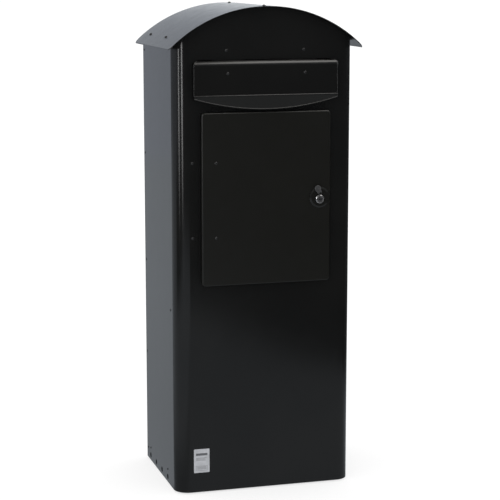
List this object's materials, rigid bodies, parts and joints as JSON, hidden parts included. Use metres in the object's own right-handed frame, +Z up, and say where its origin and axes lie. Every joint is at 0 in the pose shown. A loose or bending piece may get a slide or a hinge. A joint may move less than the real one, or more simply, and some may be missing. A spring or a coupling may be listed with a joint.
{
  "type": "parcel drop box",
  "caption": "Free-standing sheet steel mail and parcel box with arched roof, letter flap, locking door and internal parcel floor.",
  "frame": {"origin": "centre of the footprint of the overall box, on the ground", "axes": "+Z up, front with flap and door faces -Y, +X to the right seen from the front"},
  "size_m": [0.43, 0.34, 1.0622],
  "materials": {
    "cabinet_black": "gloss",
    "roof_black": "gloss",
    "flap_black": "gloss",
    "door_black": "satin",
    "zinc_plated": "satin",
    "lock_bezel": "gloss",
    "lock_chrome": "polished",
    "rubber_black": "matte",
    "label_silver": "satin"
  },
  "bodies": {
    "cabinet": {"body_shell": "cabinet_black", "back_panel": "cabinet_black", "base_tray": "cabinet_black", "parcel_floor": "cabinet_black", "roof_sheet": "roof_black", "front_roof_bearer": "cabinet_black", "rear_roof_bearer": "cabinet_black", "roof_screws": "zinc_plated", "roof_nuts": "zinc_plated", "slot_ramp": "cabinet_black", "anti_fishing_baffle": "cabinet_black", "lock_keeper": "cabinet_black", "flap_hinge_cabinet_leaves": "zinc_plated", "flap_hinge_pins": "zinc_plated", "flap_hinge_cabinet_rivets": "cabinet_black", "flap_buffers": "rubber_black", "door_hinge_cabinet_leaves": "zinc_plated", "door_hinge_pins": "zinc_plated", "door_hinge_cabinet_rivets": "cabinet_black", "door_buffers": "rubber_black", "label_plate": "label_silver", "back_panel_rivets": "cabinet_black", "base_tray_rivets": "cabinet_black", "parcel_floor_rivets": "cabinet_black"},
    "flap": {"mail_flap": "flap_black", "flap_hinge_flap_leaves": "zinc_plated", "flap_hinge_flap_rivets": "flap_black"},
    "door": {"door_panel": "door_black", "door_stiffener": "door_black", "door_hinge_door_leaves": "zinc_plated", "door_hinge_door_rivets": "door_black", "lock_rosette": "lock_bezel", "lock_barrel": "lock_chrome", "lock_nut": "zinc_plated", "dust_cover_pivot": "lock_bezel"},
    "lock": {"lock_plug": "lock_chrome", "lock_cam": "zinc_plated", "cam_screw": "zinc_plated"},
    "keyway_cover": {"dust_cover": "lock_chrome"}
  },
  "joints": [
    {"name": "flap_hinge", "type": "hinge", "parent": "cabinet", "child": "flap", "pos_m": [0, -0.1545, 0.9405], "axis": [-1, 0, 0], "range_deg": [0, 65]},
    {"name": "door_hinge", "type": "hinge", "parent": "cabinet", "child": "door", "pos_m": [-0.138, -0.1573, 0.648], "axis": [0, 0, -1], "range_deg": [0, 95]},
    {"name": "lock_turn", "type": "hinge", "parent": "door", "child": "lock", "pos_m": [0.1195, -0.157, 0.6435], "axis": [0, 1, 0], "range_deg": [0, 90]},
    {"name": "dust_cover_swivel", "type": "hinge", "parent": "door", "child": "keyway_cover", "pos_m": [0.1195, -0.168, 0.656], "axis": [0, -1, 0], "range_deg": [0, 154]}
  ]
}
